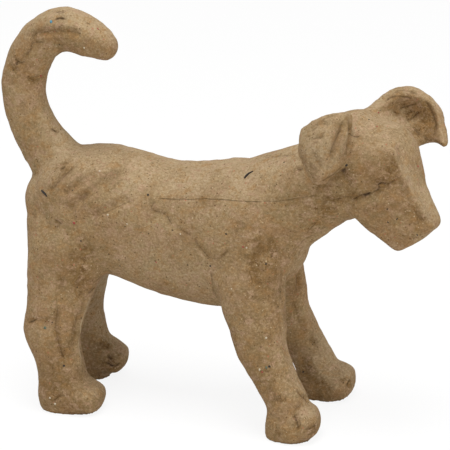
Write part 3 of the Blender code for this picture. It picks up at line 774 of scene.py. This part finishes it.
for name, (ink, places) in SPECKS.items():
    bm = bmesh.new()
    for x, y, z, size, long in places:
        set_in(bm, (x, y, z), size, long, x * TURN_PER_MM)
    specks = piece_from(bm, name)
    specks.data.shade_smooth()
    matter = bpy.data.materials.new(name)
    matter.use_nodes = True
    surface = matter.node_tree.nodes["Principled BSDF"]
    surface.inputs["Base Color"].default_value = ink
    surface.inputs["Roughness"].default_value = SPECK_ROUGHNESS
    specks.data.materials.append(matter)
    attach(specks, "root")

bm = bmesh.new()
for places in HAIRS:
    lay_hair(bm, places)
bmesh.ops.recalc_face_normals(bm, faces=bm.faces)
hairs = piece_from(bm, "hairs")
hairs.data.materials.append(bpy.data.materials["dark_specks"])
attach(hairs, "root")

# The table and the room
# A plain white sheet, not part of the dog. It takes the faint soft shadow under the paws, and the
# room around it is white too. Both look whiter to the camera than the light they give the dog.

TABLE_HALF = 3
TABLE_GREY = 0.75
TABLE_GLOW = 1.06
GLOW_SHARE = 0.82
ROOM_LIGHT = 0.5
ROOM_SEEN = 1.0


def seen_straight(tree):
    """1 for the rays that see this directly, in a mirror or through glass, and 0 for all others."""
    paths = tree.nodes.new("ShaderNodeLightPath")
    seen = paths.outputs["Is Camera Ray"]
    for kind in ("Is Glossy Ray", "Is Transmission Ray"):
        either = tree.nodes.new("ShaderNodeMath")
        either.operation = "MAXIMUM"
        tree.links.new(seen, either.inputs[0])
        tree.links.new(paths.outputs[kind], either.inputs[1])
        seen = either.outputs["Value"]
    return seen


bm = bmesh.new()
bmesh.ops.create_grid(bm, x_segments=1, y_segments=1, size=TABLE_HALF)
table = piece_from(bm, "table")
white = bpy.data.materials.new("white_table")
white.use_nodes = True
tree = white.node_tree
matt = tree.nodes["Principled BSDF"]
matt.inputs["Base Color"].default_value = (TABLE_GREY, TABLE_GREY, TABLE_GREY, 1)
matt.inputs["Roughness"].default_value = 1.0
matt.inputs["Specular IOR Level"].default_value = 0.0
glow = tree.nodes.new("ShaderNodeEmission")
glow.inputs["Strength"].default_value = TABLE_GLOW
share = tree.nodes.new("ShaderNodeMath")
share.operation = "MULTIPLY"
share.inputs[1].default_value = GLOW_SHARE
tree.links.new(seen_straight(tree), share.inputs[0])
both = tree.nodes.new("ShaderNodeMixShader")
tree.links.new(share.outputs["Value"], both.inputs["Fac"])
tree.links.new(matt.outputs["BSDF"], both.inputs[1])
tree.links.new(glow.outputs["Emission"], both.inputs[2])
tree.links.new(both.outputs["Shader"], tree.nodes["Material Output"].inputs["Surface"])
table.data.materials.append(white)

room = bpy.data.worlds.new("room")
bpy.context.scene.world = room
room.use_nodes = True
tree = room.node_tree
walls = tree.nodes["Background"]
walls.inputs["Color"].default_value = (1, 1, 1, 1)
strength = tree.nodes.new("ShaderNodeMapRange")
strength.inputs["To Min"].default_value = ROOM_LIGHT
strength.inputs["To Max"].default_value = ROOM_SEEN
tree.links.new(seen_straight(tree), strength.inputs["Value"])
tree.links.new(strength.outputs["Result"], walls.inputs["Strength"])

# The lamps
# One large soft lamp over the dog, and weaker ones in front and ahead, as in a small light tent.
# Each has its place and width in metres and its power in watts, and all face the dog's middle.

LAMPS = {
    "over": ((0.0, -0.15, 0.9), 0.5, 5.75),
    "front": ((0.1, -0.95, 0.1), 0.7, 2.1),
    "ahead": ((0.85, -0.25, 0.25), 0.6, 2.3),
}
LIT_PLACE = Vector((0, 0, 0.06))

for name, (at, size, power) in LAMPS.items():
    lamp = bpy.data.lights.new(name, "AREA")
    lamp.size = size
    lamp.energy = power
    holder = bpy.data.objects.new(name, lamp)
    bpy.context.scene.collection.objects.link(holder)
    holder.location = at
    holder.rotation_euler = (LIT_PLACE - holder.location).to_track_quat("-Z", "Y").to_euler()

# The camera
# It looks from the dog's right, a little ahead and from above, as the photograph does, and leans
# with the dog's nose-down stance. The picture is as wide as its pixels at the photograph's scale.

AHEAD_DEGREES = 18
DOWN_DEGREES = 18.5
LEAN_DEGREES = 1
DISTANCE = 800
LOOKS_AT = Vector((1.17, 0.03, 60.89))
PICTURE_PIXELS = 450
PIXELS_PER_MM = 3.2
SENSOR_WIDTH = 36

ahead = math.radians(AHEAD_DEGREES)
down = math.radians(DOWN_DEGREES)
lean = Quaternion((0, 1, 0), math.radians(LEAN_DEGREES))
back = Vector((math.sin(ahead) * math.cos(down), -math.cos(ahead) * math.cos(down), math.sin(down)))
camera = bpy.data.objects.new("camera", bpy.data.cameras.new("camera"))
bpy.context.scene.collection.objects.link(camera)
camera.data.sensor_width = SENSOR_WIDTH
camera.data.lens = SENSOR_WIDTH * DISTANCE / (PICTURE_PIXELS / PIXELS_PER_MM)
camera.location = (LOOKS_AT + (lean @ back) * DISTANCE) * MM
camera.rotation_mode = "QUATERNION"
camera.rotation_quaternion = lean @ (-back).to_track_quat("-Z", "Y")
bpy.context.scene.camera = camera
bpy.context.scene.view_settings.view_transform = "Standard"
